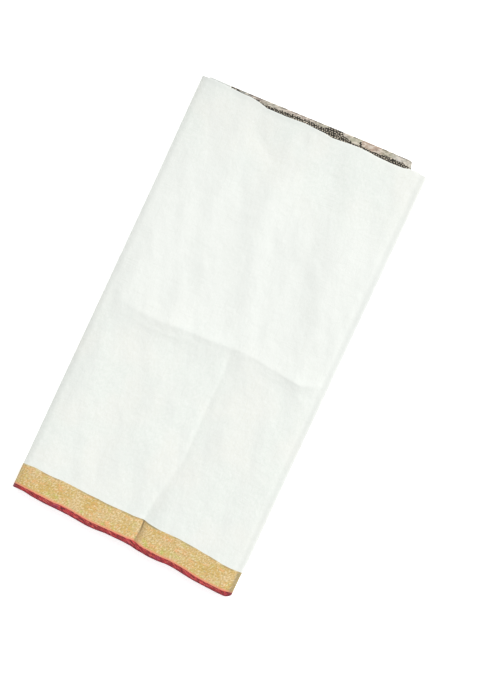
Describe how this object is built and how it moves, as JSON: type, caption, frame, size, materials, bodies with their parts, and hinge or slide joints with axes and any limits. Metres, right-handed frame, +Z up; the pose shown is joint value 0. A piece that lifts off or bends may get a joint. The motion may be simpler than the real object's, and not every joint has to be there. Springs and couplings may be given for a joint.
{
  "type": "tussar silk sari, folded flat",
  "caption": "Ivory tussar silk sari folded into a flat oblong packet, with a gold tissue border, a red selvedge and a beige checked pallu showing at the top edge.",
  "frame": {"origin": "under the middle of the folded packet, on the surface that it lies on", "axes": "+X across the folded width towards the two small folds, +Y along the packet from the red selvedge to the doubled edge, +Z up out of the top panel"},
  "size_m": [0.3124, 0.5995, 0.0197],
  "materials": {
    "ivory_silk": "soft low sheen, plain weave with slubs",
    "gold_tissue": "fine tissue weave, soft metallic sheen",
    "red_selvedge": "close woven, low sheen",
    "pallu_check": "natural tussar with a fine black check",
    "pallu_beige": "natural tussar, slubbed",
    "ivory_layers": "folded silk, low sheen"
  },
  "bodies": {
    "root": {"field_wrap": "ivory_silk", "border_wrap": "gold_tissue", "selvedge_wrap": "red_selvedge", "field_second_fold": "ivory_silk", "pallu_check_fold": "pallu_check", "pallu_plain_fold": "pallu_beige", "field_corner_fold": "ivory_silk", "hidden_layers": "ivory_layers"}
  },
  "joints": []
}
